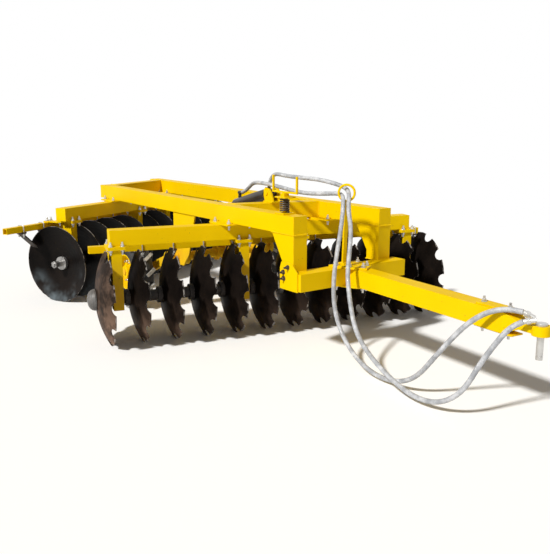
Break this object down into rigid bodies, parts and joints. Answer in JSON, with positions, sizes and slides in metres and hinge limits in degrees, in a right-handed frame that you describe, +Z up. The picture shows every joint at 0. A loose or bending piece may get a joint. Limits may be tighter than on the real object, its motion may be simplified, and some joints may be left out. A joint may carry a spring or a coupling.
{
  "type": "disc harrow",
  "caption": "Trailed offset disc harrow with notched front and plain rear disc gangs under a box frame, hydraulic transport wheels and a drawbar with hitch pin.",
  "frame": {"origin": "middle of the machine's outline, on the floor it stands on, hoses left out", "axes": "+X is the way of travel, towards the hitch; +Y is the machine's left; +Z is up"},
  "size_m": [5.5191, 2.8642, 1.19],
  "materials": {
    "yellow_paint": "gloss",
    "disc_steel": "gloss",
    "cast_iron": "rough",
    "zinc_steel": "satin",
    "spring_steel": "satin",
    "scraper_steel": "satin",
    "barrel_paint": "satin",
    "rod_chrome": "polished",
    "tyre_rubber": "matt",
    "hose_wrap": "satin"
  },
  "bodies": {
    "frame": {"right_main_beam": "yellow_paint", "left_main_beam": "yellow_paint", "rear_cross_beam": "yellow_paint", "front_cross_beam": "yellow_paint", "right_post": "yellow_paint", "left_post": "yellow_paint", "hitch_crossbar": "yellow_paint", "drawbar": "yellow_paint", "drawbar_plates": "yellow_paint", "drawbar_straps": "yellow_paint", "hitch_pin": "zinc_steel", "hose_stand": "yellow_paint", "hose_guide": "yellow_paint", "level_spring": "spring_steel", "spring_seats": "yellow_paint", "cylinder_bracket": "yellow_paint", "front_gang_beam": "yellow_paint", "rear_gang_beam": "yellow_paint", "gang_clamps": "yellow_paint", "front_hangers": "yellow_paint", "rear_hangers": "yellow_paint", "front_scraper_bar": "yellow_paint", "rear_scraper_bar": "yellow_paint", "front_scrapers": "scraper_steel", "rear_scrapers": "scraper_steel", "axle_brackets": "yellow_paint", "hose_a": "hose_wrap", "hose_b": "hose_wrap", "coupler_a": "zinc_steel", "coupler_b": "zinc_steel"},
    "front_right_gang": {"front_right_discs": "disc_steel", "front_right_spools": "cast_iron", "front_right_arbor": "zinc_steel"},
    "front_left_gang": {"front_left_discs": "disc_steel", "front_left_spools": "cast_iron", "front_left_arbor": "zinc_steel"},
    "rear_right_gang": {"rear_right_discs": "disc_steel", "rear_right_spools": "cast_iron", "rear_right_arbor": "zinc_steel"},
    "rear_left_gang": {"rear_left_discs": "disc_steel", "rear_left_spools": "cast_iron", "rear_left_arbor": "zinc_steel"},
    "wheel_axle": {"rock_shaft": "yellow_paint", "lift_lever": "yellow_paint"},
    "right_wheel": {"right_tyre": "tyre_rubber", "right_rim": "yellow_paint"},
    "left_wheel": {"left_tyre": "tyre_rubber", "left_rim": "yellow_paint"},
    "lift_barrel": {"cylinder_barrel": "barrel_paint"},
    "lift_rod": {"cylinder_rod": "rod_chrome"}
  },
  "joints": [
    {"name": "front_right_spin", "type": "hinge", "parent": "frame", "child": "front_right_gang", "pos_m": [0.09203, -1.16616, 0.33], "axis": [0.2554, 0.9668, 0], "continuous": true},
    {"name": "front_left_spin", "type": "hinge", "parent": "frame", "child": "front_left_gang", "pos_m": [0.09203, -1.16616, 0.33], "axis": [0.2554, 0.9668, 0], "continuous": true},
    {"name": "rear_right_spin", "type": "hinge", "parent": "frame", "child": "rear_right_gang", "pos_m": [-1.35097, -1.02816, 0.33], "axis": [-0.4384, 0.8988, 0], "continuous": true},
    {"name": "rear_left_spin", "type": "hinge", "parent": "frame", "child": "rear_left_gang", "pos_m": [-1.35097, -1.02816, 0.33], "axis": [-0.4384, 0.8988, 0], "continuous": true},
    {"name": "axle_lift", "type": "hinge", "parent": "frame", "child": "wheel_axle", "pos_m": [-0.45797, 0.08384, 0.45], "axis": [0, -1, 0], "range_deg": [-18, 39]},
    {"name": "right_wheel_spin", "type": "hinge", "parent": "wheel_axle", "child": "right_wheel", "pos_m": [-0.82878, -0.56616, 0.3], "axis": [0, 1, 0], "continuous": true},
    {"name": "left_wheel_spin", "type": "hinge", "parent": "wheel_axle", "child": "left_wheel", "pos_m": [-0.82878, 0.75984, 0.3], "axis": [0, 1, 0], "continuous": true},
    {"name": "barrel_swing", "type": "hinge", "parent": "frame", "child": "lift_barrel", "pos_m": [0.29703, 0.08384, 1.012], "axis": [0, -1, 0], "range_deg": [-1, 2]},
    {"name": "rod_slide", "type": "slide", "parent": "lift_barrel", "child": "lift_rod", "axis": [-0.9663, 0, -0.2574], "range_m": [-0.11, 0.235]}
  ],
  "couplings": [
    {"joint": "barrel_swing", "follows": "axle_lift", "ratio": 0.04},
    {"joint": "rod_slide", "follows": "axle_lift", "m_per_rad": 0.336}
  ]
}
